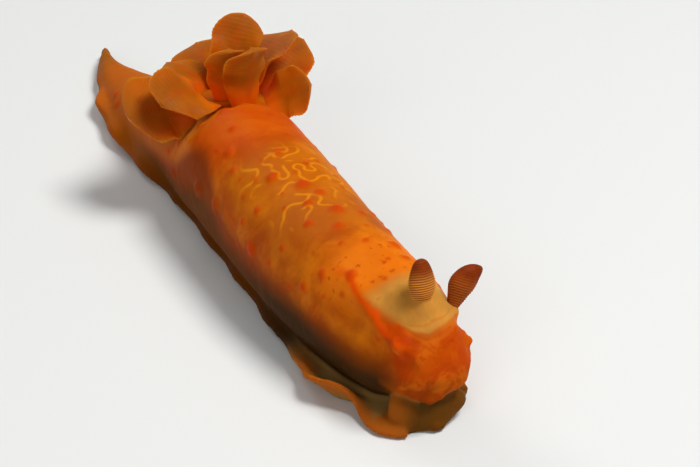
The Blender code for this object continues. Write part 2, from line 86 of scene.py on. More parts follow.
class Tree:
    # a few short words for wiring a node tree
    def __init__(self, tree):
        self.tree = tree

    def put(self, value, target):
        if isinstance(value, bpy.types.NodeSocket):
            self.tree.links.new(value, target)
        else:
            target.default_value = value

    def add(self, kind, values=(), **settings):
        # a new node, with a value or a link at each input that is named or numbered
        node = self.tree.nodes.new(kind)
        for key, value in settings.items():
            setattr(node, key, value)
        for name, value in dict(values).items():
            self.put(value, node.inputs[name])
        return node

    def math(self, operation, *values):
        return self.add("ShaderNodeMath", enumerate(values), operation=operation).outputs[0]

    def product(self, first, *others):
        for other in others:
            first = self.math("MULTIPLY", first, other)
        return first

    def vector(self, operation, *values):
        node = self.add("ShaderNodeVectorMath", enumerate(values), operation=operation)
        return node.outputs["Value" if operation == "LENGTH" else "Vector"]

    def scaled(self, direction, size):
        node = self.add("ShaderNodeVectorMath", {0: direction, "Scale": size}, operation="SCALE")
        return node.outputs["Vector"]

    def remap(self, value, low, high, toLow=0.0, toHigh=1.0, smooth=True):
        span = {"Value": value, "From Min": low, "From Max": high, "To Min": toLow, "To Max": toHigh}
        kind = "SMOOTHSTEP" if smooth else "LINEAR"
        return self.add("ShaderNodeMapRange", span, interpolation_type=kind).outputs["Result"]

    def noise(self, place, scale, detail=3.0, roughness=0.5, distortion=0.0):
        grain = {"Vector": place, "Scale": scale, "Detail": detail, "Roughness": roughness,
                 "Distortion": distortion}
        return self.add("ShaderNodeTexNoise", grain).outputs[0]

    # for the finishes

    def mix(self, share, *colours):
        first, second = (colour if isinstance(colour, bpy.types.NodeSocket) else (*colour, 1)
                         for colour in colours)
        return self.add("ShaderNodeMix", {0: share, 6: first, 7: second}, data_type="RGBA").outputs[2]

    def attribute(self, name):
        return self.add("ShaderNodeAttribute", attribute_name=name).outputs["Fac"]

    def lay(self, colour, name, amount, over):
        # a colour laid over another, as far as the piece's attribute of that name and the amount say
        return self.mix(self.product(self.attribute(name), amount), colour, over)

    def pattern(self, grain, span):
        # a noise on the piece's own coordinates, and the range of it that shows
        return self.remap(self.noise(self.place, *grain), *span)

    # for Geometry Nodes

    def named(self, name):
        return self.add("GeometryNodeInputNamedAttribute", {"Name": name}, data_type="FLOAT").outputs[0]

    def store(self, geometry, name, value):
        values = {"Geometry": geometry, "Name": name, "Value": value}
        node = self.add("GeometryNodeStoreNamedAttribute", values, data_type="FLOAT", domain="POINT")
        return node.outputs[0]

    def tube(self, sides, rings):
        # a tube of length and radius 1, and how far each of its points lies along, across and through it
        sizes = {"Vertices": sides, "Side Segments": rings, "Radius": 1.0, "Depth": 1.0}
        made = self.add("GeometryNodeMeshCylinder", sizes).outputs["Mesh"]
        place = self.add("GeometryNodeInputPosition").outputs[0]
        across, through, upwards = self.add("ShaderNodeSeparateXYZ", {0: place}).outputs
        return made, self.math("ADD", upwards, 0.5), across, through

    def outline(self, knots, value):
        node = self.add("ShaderNodeFloatCurve", {"Value": value})
        points = node.mapping.curves[0].points
        for knot in knots[1:-1]:
            points.new(*knot)
        points[0].location = knots[0]
        points[-1].location = knots[-1]
        node.mapping.update()
        return node.outputs[0]

    def finish(self, geometry, **moved):
        # the end of every tree: the points moved, all real, and the finish on them
        placed = self.add("GeometryNodeSetPosition", {"Geometry": geometry, **moved}).outputs[0]
        real = self.add("GeometryNodeRealizeInstances", {0: placed}).outputs[0]
        coat = self.add("GeometryNodeSetMaterial", {"Geometry": real, "Material": self.given["Material"]})
        self.put(coat.outputs[0], self.result[0])
        return self.tree


def nodeTree(name, inputs):
    # a Geometry Nodes tree with named inputs, listed by their kind
    tree = bpy.data.node_groups.new(name, "GeometryNodeTree")
    for kind, labels in {"Geometry": ["Geometry"], **inputs, "Material": ["Material"]}.items():
        for label in labels:
            tree.interface.new_socket(label, in_out="INPUT", socket_type="NodeSocket" + kind)
    tree.interface.new_socket("Geometry", in_out="OUTPUT", socket_type="NodeSocketGeometry")
    made = Tree(tree)
    made.given = made.add("NodeGroupInput").outputs
    made.result = made.add("NodeGroupOutput").inputs
    return made


def runTree(piece, tree, values):
    # the modifier's inputs are set by the sockets' identifiers
    modifier = piece.modifiers.new(tree.name, "NODES")
    modifier.node_group = tree
    for socket in tree.interface.items_tree:
        if socket.in_out == "INPUT" and socket.name in values:
            modifier[socket.identifier] = values[socket.name]
    bake(piece)


def newMaterial(name, shader):
    # what is the same all over is set on the shader's own sockets
    made = bpy.data.materials.new(name)
    made.use_nodes = True
    tree = Tree(made.node_tree)
    tree.shader = made.node_tree.nodes["Principled BSDF"].inputs
    for socket, value in shader.items():
        tree.shader[socket].default_value = value
    tree.place = tree.add("ShaderNodeTexCoord").outputs["Object"]
    return made, tree


wetFlesh = {  # what all the animal's finishes share
    "Roughness": 0.5,
    "IOR": 1.33,
    "Subsurface Radius": (1.0, 0.35, 0.1),
}


# the body's profiles

bodyShape = {
    "crest": ((-35, 4.6), (-34.8, 5.6), (-34.2, 6.8), (-33, 8.1), (-31, 9.4), (-28, 10.1), (-22, 10.5),
              (-16, 10.8), (-8, 11.2), (-3.4, 11.4), (0.5, 9.4), (4, 8.7), (9, 7.7), (15, 5.9), (22, 3.6),
              (29, 2.4), (33, 1.75), (34.6, 1.2)),
    "belly": ((-35, 3.9), (-34.8, 3.3), (-34.2, 2.7), (-33, 1.9), (-31.5, 1.2), (-30, 0.8), (-26, 0.7),
              (34.6, 0.7)),
    "halfWidth": ((-35, 0.9), (-34.8, 1.45), (-34.2, 2), (-33.3, 2.4), (-32, 2.55), (-31, 2.9), (-30, 3.35),
                  (-28, 3.85), (-24, 4.4), (-18, 4.9), (-10, 5.1), (-2, 5.1), (8, 4.9), (15, 4), (22, 2.6),
                  (29, 1.1), (34.6, 0.3)),
    "spine": ((-35, 1.25), (-33.3, 1.12), (-32, 0.88), (-31, 0.65), (-30, 0.5), (-28, 0.25), (-24, -0.1),
              (-18, -0.4), (-4, -0.4), (6, -0.1), (15, -0.5), (22, -1.2), (28, -1.7), (32, -1.2),
              (34.6, -0.5)),
    "roll": ((-35, 20), (-30, 18), (-22, 6), (-12, 0), (34.6, 0)),  # degrees to the left
    # degrees out from the crest
    "foldAngle": ((-35, 74), (-33.3, 76), (-31.8, 77), (-29.4, 64), (-27, 56), (-23, 50), (34.6, 50)),
    "foldHeight": ((-35, 0.1), (-34, 0.35), (-31, 0.5), (-28, 0.35), (-24, 0), (34.6, 0)),
    "foldSpread": 11,
    "bellyFlatness": 0.62,
    "start": -35,
    "end": 34.6,
}

footShape = {
    "right": ((-35.1, 0.9), (-34.8, 2.2), (-34.2, 3.1), (-33.4, 3.8), (-32.4, 4.05), (-30.7, 4.1),
              (-30, 4.5), (-29.1, 5.3), (-28.1, 6.2), (-27.2, 6.3), (-25.5, 5.6), (-23, 5.2), (-18, 4.8),
              (-10, 4.5), (0, 4.5), (8, 4.9), (15, 5.2), (22, 4), (25, 2.7), (28, 1.7), (32, 0.85),
              (35, 0.2)),
    "left": ((-35.1, 0.8), (-34.4, 1.9), (-33.4, 3.2), (-32.1, 4.2), (-28, 4.6), (-20, 5.2), (-10, 5),
             (0, 5), (8, 5.1), (15, 4.6), (22, 3.2), (25, 2.2), (28, 1.5), (32, 0.8), (35, 0.2)),
    "liftRight": ((-35.1, 0.05), (-33, 0.1), (-31.6, 0.3), (-30.7, 0.8), (-29.8, 1.5), (-28.3, 1.9),
                  (-26, 1.1), (-23, 0.5), (-19, 0.1), (-10, 0), (8, 0), (14, 0.6), (21, 0.9), (27, 0.7),
                  (32, 0.2), (35, 0.1)),
    "liftLeft": ((-35.1, 0.1), (-34, 0.9), (-31, 0.6), (-27, 1.3), (-22, 0.5), (-17, 0.1), (-10, 0), (8, 0),
                 (14, 0.5), (21, 0.8), (27, 0.6), (32, 0.2), (35, 0.1)),
    "middle": ((-35.1, 0.5), (-30, 0.4), (-24, 0.1), (-12, 0), (5, 0.1), (15, -0.4), (22, -1.2), (28, -1.7),
               (32, -1.2), (35, -0.4)),
    "soleThick": 0.9,
    "marginThick": 0.5,
    "soleShare": 0.62,
    "wave": (0.22, 0.16),  # how far the margins swing in and out, and up
    "waveLength": 6.7,
    "waveRegion": (-30, 28),
    "waveSoft": 1,
    "notch": (-0.42, 0.28, 0.9),  # where across the foot, how wide and how deep the front edge draws back
    "notchReach": 4,
    "start": -35.1,
    "end": 35,
}


def profile(knots):
    # a curve through the knots that never swings past them
    places = np.array([knot[0] for knot in knots], float)
    values = np.array([knot[1] for knot in knots], float)
    spans = np.diff(places)
    rises = np.diff(values) / spans
    slopes = np.zeros(len(knots))
    before, after = rises[:-1], rises[1:]
    sameWay = before * after > 0
    slopes[1:-1][sameWay] = 2 * before[sameWay] * after[sameWay] / (before + after)[sameWay]

    def value(y):
        y = np.clip(y, places[0], places[-1])
        i = np.clip(np.searchsorted(places, y, side="right") - 1, 0, len(spans) - 1)
        t = (y - places[i]) / spans[i]
        ease = t * t * (3 - 2 * t)
        lead = t * (1 - t) ** 2 * spans[i] * slopes[i]
        trail = t * t * (t - 1) * spans[i] * slopes[i + 1]
        return values[i] * (1 - ease) + values[i + 1] * ease + lead + trail

    return value


curves = {name: profile(knots) for name, knots in bodyShape.items() if isinstance(knots, tuple)}
footCurves = {name: profile(knots) for name, knots in footShape.items()
              if isinstance(knots, tuple) and isinstance(knots[0], tuple)}


def bodyAt(name, y):
    return float(curves[name](y))


def slopeOf(curve, y, step=0.15):
    return (curve(y + step) - curve(y - step)) / (2 * step)


def smoothStep(value, low, high):
    t = np.clip((value - low) / (high - low), 0, 1)
    return t * t * (3 - 2 * t)


# the skin as a field: below nothing inside the flesh, above nothing outside it

def acrossBody(x, y, z):
    # where a point lies in the body's own section: sideways and up, the section's half width and half height,
    # and the angle out from the crest
    low, high = curves["belly"](y), curves["crest"](y)
    middle, half = (low + high) / 2, (high - low) / 2
    wide = curves["halfWidth"](y)
    tilt = np.radians(curves["roll"](y))
    dx, dz = x - curves["spine"](y), z - middle
    sideways = dx * np.cos(tilt) - dz * np.sin(tilt)
    up = dx * np.sin(tilt) + dz * np.cos(tilt)
    angle = np.degrees(np.arctan2(sideways / wide, up / half))
    return sideways, up, wide, half, angle


def bodyField(x, y, z):
    sideways, up, wide, half, angle = acrossBody(x, y, z)
    a, b = np.abs(sideways) / wide, np.abs(up) / half
    power = 2 / bodyShape["bellyFlatness"]
    ratio = np.where(up > 0, np.hypot(a, b), (a ** power + b ** power) ** (1 / power))
    off = (np.abs(angle) - curves["foldAngle"](y)) / bodyShape["foldSpread"]
    swell = 1 + curves["foldHeight"](y) / wide * np.exp(-off * off)
    reach = np.hypot(sideways, up)
    # the outline's slope along the body makes the distance shorter than it looks in the section
    lengthwise = a * a * slopeOf(curves["halfWidth"], y) + b * b * slopeOf(curves["crest"], y) / 2
    lengthwise = lengthwise / np.maximum(a * a + b * b, 1e-6)
    inSection = reach * (1 - swell / np.maximum(ratio, 1e-3)) / np.sqrt(1 + lengthwise ** 2)
    return np.maximum(inSection, np.maximum(bodyShape["start"] - y, y - bodyShape["end"]))


def footPlace(x, y):
    # a point's place along and across the foot, the foot's half width there and how that changes along it,
    # and the height and thickness of the sheet
    centre, spread, depth = footShape["notch"]
    onRight = x < footCurves["middle"](y)

    def bySide(right, left, y):
        return np.where(onRight, footCurves[right](y), footCurves[left](y))

    firstShare = (x - footCurves["middle"](y)) / bySide("right", "left", y)
    nearness = np.clip(1 - (y - footShape["start"]) / footShape["notchReach"], 0, 1)
    y = y - depth * np.exp(-((firstShare - centre) / spread) ** 2) * nearness
    across = x - footCurves["middle"](y)
    reach = bySide("right", "left", y)
    lift = bySide("liftRight", "liftLeft", y)
    slope = np.where(onRight, slopeOf(footCurves["right"], y), slopeOf(footCurves["left"], y))
    edge = np.clip((np.abs(across / reach) - footShape["soleShare"]) / (1 - footShape["soleShare"]), 0, 1)
    rise = edge * edge * (3 - 2 * edge)
    (start, end), soft = footShape["waveRegion"], footShape["waveSoft"]
    waved = smoothStep(y, start - soft, start + soft) * (1 - smoothStep(y, end - soft, end + soft))
    wave = np.sin(math.tau * y / footShape["waveLength"] + np.where(onRight, -1, 1))
    reach = reach + footShape["wave"][0] * wave * rise * waved
    lift = lift + footShape["wave"][1] * (1 + wave) * waved
    thick = footShape["soleThick"] + (footShape["marginThick"] - footShape["soleThick"]) * rise
    return y, across, reach, slope, lift * rise, thick


def footField(x, y, z):
    y, across, reach, slope, under, thick = footPlace(x, y)
    corner = thick / 2
    beyond = (np.abs(across) - reach) / np.sqrt(1 + slope ** 2)
    beyond = np.maximum(beyond, np.maximum(footShape["start"] - y, y - footShape["end"])) + corner
    above = np.abs(z - under - thick / 2) - thick / 2 + corner
    outside = np.hypot(np.maximum(beyond, 0), np.maximum(above, 0))
    return outside + np.minimum(np.maximum(beyond, above), 0) - corner


def ellipsoidField(x, y, z, centre, radii, pitch=0.0):
    dx, dy, dz = x - centre[0], y - centre[1], z - centre[2]
    turn = math.radians(pitch)
    dy, dz = dy * math.cos(turn) + dz * math.sin(turn), dz * math.cos(turn) - dy * math.sin(turn)
    near = np.sqrt((dx / radii[0]) ** 2 + (dy / radii[1]) ** 2 + (dz / radii[2]) ** 2)
    steep = np.sqrt((dx / radii[0] ** 2) ** 2 + (dy / radii[1] ** 2) ** 2 + (dz / radii[2] ** 2) ** 2)
    return near * (near - 1) / np.maximum(steep, 1e-6)


def taperField(x, y, z, first, second, firstRadius, secondRadius):
    # a rounded rod from one point to another, tapering on the way
    first, second = np.array(first, float), np.array(second, float)
    along = second - first
    dx, dy, dz = x - first[0], y - first[1], z - first[2]
    share = np.clip((dx * along[0] + dy * along[1] + dz * along[2]) / along.dot(along), 0, 1)
    away = np.sqrt((dx - share * along[0]) ** 2 + (dy - share * along[1]) ** 2 + (dz - share * along[2]) ** 2)
    return away - firstRadius - (secondRadius - firstRadius) * share


def blend(first, second, reach):
    # unites two fields with a fillet
    close = np.maximum(reach - np.abs(first - second), 0) / reach
    return np.minimum(first, second) - close * close * reach / 4


def carve(first, second, reach):
    return -blend(-first, second, reach)


def onBody(y, angle, out=0.0):
    # the point of the skin at this place along the body and this angle out from the crest
    turn = math.radians(angle)
    low, high = bodyAt("belly", y), bodyAt("crest", y)
    off = (abs(angle) - bodyAt("foldAngle", y)) / bodyShape["foldSpread"]
    swell = 1 + bodyAt("foldHeight", y) / bodyAt("halfWidth", y) * math.exp(-off * off)
    sideways = math.sin(turn) * (bodyAt("halfWidth", y) * swell + out)
    up = math.cos(turn) * ((high - low) / 2 * swell + out)
    tilt = math.radians(bodyAt("roll", y))
    x = bodyAt("spine", y) + sideways * math.cos(tilt) + up * math.sin(tilt)
    z = (low + high) / 2 - sideways * math.sin(tilt) + up * math.cos(tilt)
    return np.array([x, y, z])


headShape = {
    # centre, radii, pitch in degrees, and how far the fillet round it reaches
    "lobes": (((1.2, -33.3, 1.4), (2.5, 1.4, 1.15), 6, 0.6),
              ((-0.8, -33.3, 1.5), (1.3, 1.2, 1.45), -10, 0.35)),
    "lips": (((0.6, -33.65, 4.1), (1.8, 1, 1.2), 0, 0.8),
             ((2.5, -33.45, 4.5), (1.1, 0.9, 1.2), 0, 0.8)),
    # the thin edge of the veil, hanging over the front of the foot, from the right corner to the left one
    "veilEdge": ((-2, -32, 3.4), (-1.2, -33.1, 3.2), (-0.5, -34.1, 2.9), (0.2, -34.7, 2.85),
                 (0.9, -34.75, 3.15), (1.4, -34.6, 3.7), (2.1, -34.7, 3.6), (2.8, -34.4, 3.75),
                 (3.5, -33.6, 4.1)),
    "veilRadius": 0.33,
    "veilFillet": 0.35,
    # each feeler: angle out from the crest, place along the body, the way to its tip, its two radii
    "feelers": ((-77, -32.8, (-0.3, -0.2, 0), 0.6, 0.4), (66, -32.9, (0.5, -0.35, 0.3), 0.8, 0.3)),
    "feelerFillet": 0.5,
    "rootDepth": 0.3,  # how deep feelers and collars start under the skin
    # the collar of skin round each rhinophore: its rise above the skin, its two radii and its fillet
    "collarRise": 0.15,
    "collarRadii": (0.6, 0.45),
    "collarFillet": 0.8,
}

rhinophores = {
    "rhinophore_right": {"angle": -23.0, "y": -31.85, "sunk": 0.25, "lean": (0.0, 0.15), "Length": 3.5 * mm,
                         "Half Width": 0.88 * mm, "Top Weight": 1.0, "Bend": 0.0, "Plate Rise": 0.12 * mm,
                         "Plate Mark": 1.0},
    "rhinophore_left": {"angle": 50.0, "y": -31.2, "sunk": 0.02, "lean": (0.5, 0.15), "Length": 3.75 * mm,
                        "Half Width": 1.0 * mm, "Top Weight": 1.7, "Bend": 0.75 * mm,
                        "Plate Rise": 0.05 * mm, "Plate Mark": 0.35},
}

ventShape = {
    # heights are over the crest of the back
    "mound": ((3.6, 3.6, 1.0), -0.5, 1.2),  # radii, height and fillet
    "papilla": ((-0.3, 1.2), (0.75, 0.4), 0.5),  # heights, radii and fillet
    "opening": ((0.25, 0.25, 0.6), 1.75, 0.15),  # as for the mound
}

skinMaking = {
    "cell": 0.2,
    "cellFront": 0.165,
    "cellRear": 0.25,
    "cellChange": (-30, -6),  # where along the body the cells grow longer
    "room": 0.7,
    "fillet": 0.6,  # between body and foot, at the head
    "filletChanges": ((-33, -27, 1.3), (2, 12, 3.0), (18, 29, 1.0)),  # from, to, and what it grows to there
    "softening": (0.5, 2),  # how strongly and how often
}


def withLumps(flesh, lumps, x, y, z):
    for centre, radii, pitch, reach in lumps:
        flesh = blend(flesh, ellipsoidField(x, y, z, centre, radii, pitch), reach)
    return flesh


def wholeBody(x, y, z):
    return withLumps(bodyField(x, y, z), headShape["lips"], x, y, z)


def wholeFoot(x, y, z):
    return withLumps(footField(x, y, z), headShape["lobes"], x, y, z)


def fleshField(x, y, z):
    fillet = before = skinMaking["fillet"]
    for start, end, after in skinMaking["filletChanges"]:
        fillet = fillet + (after - before) * smoothStep(y, start, end)
        before = after
    flesh = blend(wholeBody(x, y, z), wholeFoot(x, y, z), fillet)
    radius, depth = headShape["veilRadius"], headShape["rootDepth"]
    for start, end in zip(headShape["veilEdge"], headShape["veilEdge"][1:]):
        flesh = blend(flesh, taperField(x, y, z, start, end, radius, radius), headShape["veilFillet"])
    for angle, place, way, rootRadius, tipRadius in headShape["feelers"]:
        root = onBody(place, angle, -depth)
        feeler = taperField(x, y, z, root, root + np.array(way), rootRadius, tipRadius)
        flesh = blend(flesh, feeler, headShape["feelerFillet"])
    for shape in rhinophores.values():
        root = onBody(shape["y"], shape["angle"], -depth)
        top = onBody(shape["y"], shape["angle"], headShape["collarRise"])
        collar = taperField(x, y, z, root, top, *headShape["collarRadii"])
        flesh = blend(flesh, collar, headShape["collarFillet"])
    ventX, ventY = ventCentre
    backZ = bodyAt("crest", ventY)
    radii, height, reach = ventShape["mound"]
    flesh = blend(flesh, ellipsoidField(x, y, z, (ventX, ventY, backZ + height), radii), reach)
    (low, high), radii, reach = ventShape["papilla"]
    low, high = (ventX, ventY, backZ + low), (ventX, ventY, backZ + high)
    flesh = blend(flesh, taperField(x, y, z, low, high, *radii), reach)
    radii, height, reach = ventShape["opening"]
    flesh = carve(flesh, ellipsoidField(x, y, z, (ventX, ventY, backZ + height), radii), reach)
    return np.maximum(flesh, -z)  # the sole lies flat on the floor


def wrapField(field, axes):
    # one vertex in each cell that the surface crosses, and one face round each grid edge that it crosses
    inside = field < 0
    cells = tuple(size - 1 for size in field.shape)
    total = np.zeros((math.prod(cells), 3))
    count = np.zeros(math.prod(cells))
    faces = []
    for axis in range(3):
        others = [other for other in range(3) if other != axis]
        low, high = [slice(None)] * 3, [slice(None)] * 3
        low[axis], high[axis] = slice(None, -1), slice(1, None)
        start = np.argwhere(inside[tuple(low)] != inside[tuple(high)])
        end = start.copy()
        end[:, axis] += 1
        before, after = field[tuple(start.T)], field[tuple(end.T)]
        point = np.stack([axes[k][start[:, k]] for k in range(3)], 1)
        point[:, axis] += before / (before - after) * (axes[axis][end[:, axis]] - axes[axis][start[:, axis]])
        ring = []
        for back in ((1, 1), (0, 1), (0, 0), (1, 0)):
            cell = start.copy()
            cell[:, others] -= back
            flat = np.ravel_multi_index(cell.T, cells)
            np.add.at(total, flat, point)
            np.add.at(count, flat, 1)
            ring.append(flat)
        ring = np.stack(ring, 1)
        outwards = (before < 0) != (axis == 1)
        faces.append(np.where(outwards[:, None], ring, ring[:, ::-1]))
    used = np.flatnonzero(count)
    number = np.zeros(len(count), int)
    number[used] = np.arange(len(used))
    return total[used] / count[used][:, None], number[np.concatenate(faces)]


def gridAxes():
    boxes = [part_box(node) for node in fleshNodes]
    low = np.min([np.array(box[0]) for box in boxes], 0) / mm - shift - skinMaking["room"]
    high = np.max([np.array(box[1]) for box in boxes], 0) / mm - shift + skinMaking["room"]
    front, growth = skinMaking["cellFront"], skinMaking["cellRear"] - skinMaking["cellFront"]
    ys = [low[1]]
    while ys[-1] < high[1]:
        toRear = float(smoothStep(ys[-1], *skinMaking["cellChange"]))
        ys.append(ys[-1] + front + growth * toRear)
    return [np.arange(low[0], high[0], skinMaking["cell"]), np.array(ys),
            np.arange(low[2], high[2], skinMaking["cell"])]


axes = gridAxes()
grid = np.meshgrid(*axes, indexing="ij", sparse=True)
skinPoints, skinFaces = wrapField(fleshField(*grid), axes)
print("skin wrapped:", len(skinPoints), "points,", len(skinFaces), "faces")

skin = newMesh("skin", toFrame(skinPoints), skinFaces)
soften = skin.modifiers.new("soften", "SMOOTH")
soften.factor, soften.iterations = skinMaking["softening"]
bake(skin)

# what lies where on the skin, for its colours and its pustules

skinRegions = {
    # from, to and softness along the body, then the angle out from the crest and its softness
    "pale": (-40, -29.4, 0.7, 62, 8),  # the bare patch round the rhinophores
    "bright": (-29.6, -24.5, 1.6, 78, 15),  # the neck
    "red": (-8.5, -1.5, 2, 70, 25),  # the hump before the gills
    "organs": (-20, -10.5, 1.2, 50, 12),  # where the glands show through the back as threads
    "glands": (-22, -10, 2, 55, 15),  # and the lighter skin over them
    "dim": (-22.5, -17, 1.5, 70, 20),
    "rearBack": (2, 40, 2.5, 200, 10),
    "tail": (20, 40, 4, 200, 10),
    "tailTip": (28.5, 40, 3, 200, 10),
}

skinMap = {
    # the line where the bare patch meets the face, as angle and place along the body
    "paleEdge": ((-150, -33.2), (-95, -32.4), (-75, -31.2), (-64, -31.8), (-56, -32.8), (-46, -33.3),
                 (-33, -33.6), (-16, -33.5), (2, -33.3), (26, -32.6), (45, -31.9), (70, -31.2), (95, -32.4),
                 (150, -33.2)),
    "faceFade": (0.2, -0.5),  # distances behind that line
    "paleFade": (-0.35, 0.35),
    # the angles where the back's orange has half given way, and below that where it is gone, to a dark flank
    # that is partly its own brown and partly painted shade; where it reaches up just before the gills it is
    # painted shadow under them
    "flankHigh": ((-33, 104), (-29, 103), (-25, 101), (-21, 91), (-14, 90), (-10, 80), (-7, 62), (-5, 54),
                  (-2, 70), (4, 95), (12, 110)),
    "flank": ((-33, 120), (-28, 114), (-22, 104), (-12, 106), (-7, 90), (0, 105)),
    "flankSoft": (10, 12),  # degrees, for the one and the other
    "flankStart": (-33.6, -31.5),
    "leastOnLeft": 84,  # on the left the dark flank and its painted shade stay lower
    "midFlank": (-22, -10),  # the dark flank, partly painted shade, turns brown towards the middle
    "rearFlank": (4, 14),  # and brownish orange behind the gills
    "ridge": (-24.5, -28),  # the red streak along the fold, and where it ends at the front
    "ridgeFront": (-34, -32.8),
    "foot": (-0.25, 0.45),  # how much nearer the foot's form is than the body's
    "footEnd": (-26, -20),
    "rim": (0.64, 0.92),  # shares of the foot's half width
    "rimFront": (-21, -26),
    "frontEdge": (0.9, 0.3),  # distances behind the foot's front end
    "lobeEdge": (-0.3, -1.4),  # sideways, where the front lobe turns from the brown of the painted shade to orange
    "lobeFront": (-32, -32.8),
    "lowFace": (4.9, 3.9),  # heights
    "lowFaceFront": (-31.4, -33),
    "cheek": (76, 12, -32.3, 0.5),  # a patch of painted shade behind the veil's left corner: angle and its spread, place along the body and its spread
    "underFoot": (-2.4, -0.6),  # sideways, over which the painted shade under the face comes in on the foot
    "underVeil": (3, 2.5),  # heights, under which the skin below the veil takes painted shade
    "underFront": (-31.6, -32.6),
}

wartyArea = {
    "along": (-34, 21),
    "angle": 96,
    "mostPale": 0.25,
    "mostFoot": 0.2,
    "bareRing": 5,  # round the vent, as far out from the crest as the next angle
    "bareAngle": 75,
}


def fade(values, name):
    return smoothStep(values, *skinMap[name])


def region(y, angle, start, end, soft, widest, spread):
    lengthwise = smoothStep(y, start - soft, start + soft) * (1 - smoothStep(y, end - soft, end + soft))
    return lengthwise * (1 - smoothStep(np.abs(angle), widest - spread, widest + spread))


def warty(places):
    # pustules grow on the back and flanks, but not on the bare patch, the foot or among the gills
    start, end = wartyArea["along"]
    fromCrest = np.abs(angle)
    there = (y > start) & (y < end) & (fromCrest < wartyArea["angle"])
    bare = (places["pale"] >= wartyArea["mostPale"]) | (onFoot >= wartyArea["mostFoot"])
    fromVent = np.hypot(x - ventCentre[0], y - ventCentre[1])
    amongGills = (fromVent <= wartyArea["bareRing"]) & (fromCrest <= wartyArea["bareAngle"])
    return there & ~bare & ~amongGills


x, y, z = (np.array([vertex.co for vertex in skin.data.vertices]) / mm - shift).T
angle = acrossBody(x, y, z)[-1]
across, reach = footPlace(x, y)[1:3]
onFoot = fade(wholeBody(x, y, z) - wholeFoot(x, y, z), "foot")
places = {name: region(y, angle, *shape) for name, shape in skinRegions.items()}

beforeFace = y - profile(skinMap["paleEdge"])(angle)
places["beforeFace"] = beforeFace
places["face"] = fade(beforeFace, "faceFade")
places["pale"] = places["pale"] * fade(beforeFace, "paleFade")
# the lower face darker red, and a patch of painted shade behind the veil's left corner
lowFace = fade(z, "lowFace") * fade(y, "lowFaceFront")
cheekAngle, angleSpread, cheekPlace, placeSpread = skinMap["cheek"]
cheek = np.exp(-((angle - cheekAngle) / angleSpread) ** 2 - ((y - cheekPlace) / placeSpread) ** 2)
places["cheek"] = np.maximum(lowFace, cheek)
places["ridge"] = fade(y, "ridge") * fade(y, "ridgeFront") * (1 - onFoot)
places["fromFold"] = np.abs(angle) - curves["foldAngle"](y)

# the dark flank: partly its own brown, partly painted shade, reaching higher on the right than on the left
for name, soft in zip(("flankHigh", "flank"), skinMap["flankSoft"]):
    edge = profile(skinMap[name])(y)
    beyond = np.abs(angle) - np.where(angle > 0, np.maximum(edge, skinMap["leastOnLeft"]), edge)
    places[name] = smoothStep(beyond, -soft, soft) * fade(y, "flankStart")
for name in ("midFlank", "rearFlank"):
    places[name] = fade(y, name)

frontEdge = smoothStep(y, *(footShape["start"] + distance for distance in skinMap["frontEdge"]))
lobeEdge = fade(x, "lobeEdge") * fade(y, "lobeFront")
rim = np.maximum(np.maximum(fade(np.abs(across / reach), "rim"), frontEdge), lobeEdge)
places["rim"] = rim * onFoot * fade(y, "rimFront")
places["foot"] = onFoot * (1 - fade(y, "footEnd"))
# painted shade under the face and the veil, on the foot's front and on the skin below the veil
underVeil = fade(z, "underVeil") * (1 - onFoot)
underFace = np.maximum(onFoot * fade(x, "underFoot"), underVeil)
places["shadeUnderFace"] = underFace * fade(y, "underFront")

places["warty"] = warty(places)
for name, values in places.items():
    setAttribute(skin, name, values)

# pustules, raised in the skin's own surface

pustules = {
    "Spacing": 1.45 * mm,
    "Density": 500000.0,
    "Smallest": 0.2 * mm,
    "Largest": 0.75 * mm,
    "Height": 0.32,
    "Unevenness": 0.16 * mm,
    "Seed": 7,
}

pustuleForm = {
    "sizePower": 2.0,  # more small ones than large
    "raggedGrain": (1700.0, 2.0),
    "ragged": (1.1, 0.45),  # how much of the noise counts, and what is added to it
    "dome": (0.1, 1.25),  # where it falls away and where it is gone, as shares of its size
    "spot": (0.35, 1.3),  # the same for its colour
    "wrinkleGrain": (480.0, 3.0),
    "faceWrinkle": 1.6,  # how much more uneven the face is
}


def pustuleTree():
    form = pustuleForm
    made = nodeTree("pustules", {"Float": [name for name in pustules if name != "Seed"], "Int": ["Seed"]})
    given = made.given
    scatter = {"Mesh": given["Geometry"], "Distance Min": given["Spacing"], "Density Max": given["Density"],
               "Density Factor": made.named("warty"), "Seed": given["Seed"]}
    scatter = made.add("GeometryNodeDistributePointsOnFaces", scatter, distribute_method="POISSON")
    chance = made.add("FunctionNodeRandomValue", {"Seed": given["Seed"]}, data_type="FLOAT").outputs[1]
    span = made.math("SUBTRACT", given["Largest"], given["Smallest"])
    size = made.math("MULTIPLY_ADD", made.math("POWER", chance, form["sizePower"]), span, given["Smallest"])
    dots = made.store(scatter.outputs["Points"], "size", size)
    distance = made.add("GeometryNodeProximity", {0: dots}, target_element="POINTS").outputs["Distance"]
    nearest = made.add("GeometryNodeSampleNearest", {"Geometry": dots}, domain="POINT").outputs[0]
    nearest = {"Geometry": dots, "Value": made.named("size"), "Index": nearest}
    size = made.add("GeometryNodeSampleIndex", nearest, data_type="FLOAT", domain="POINT").outputs[0]
    place = made.add("GeometryNodeInputPosition").outputs[0]
    ragged = made.math("MULTIPLY_ADD", made.noise(place, *form["raggedGrain"]), *form["ragged"])
    away = made.product(made.math("DIVIDE", distance, size), ragged)
    rise = made.product(made.remap(away, *form["dome"], 1.0, 0.0), size, given["Height"])
    wrinkle = made.math("SUBTRACT", made.noise(place, *form["wrinkleGrain"]), 0.5)
    onFace = made.math("MULTIPLY_ADD", made.named("face"), form["faceWrinkle"], 1.0)
    rise = made.math("MULTIPLY_ADD", wrinkle, made.product(given["Unevenness"], onFace), rise)
    marked = made.store(given["Geometry"], "spot", made.remap(away, *form["spot"], 1.0, 0.0))
    outwards = made.add("GeometryNodeInputNormal").outputs[0]
    return made.finish(marked, Offset=made.scaled(outwards, rise))


# the skin's finish

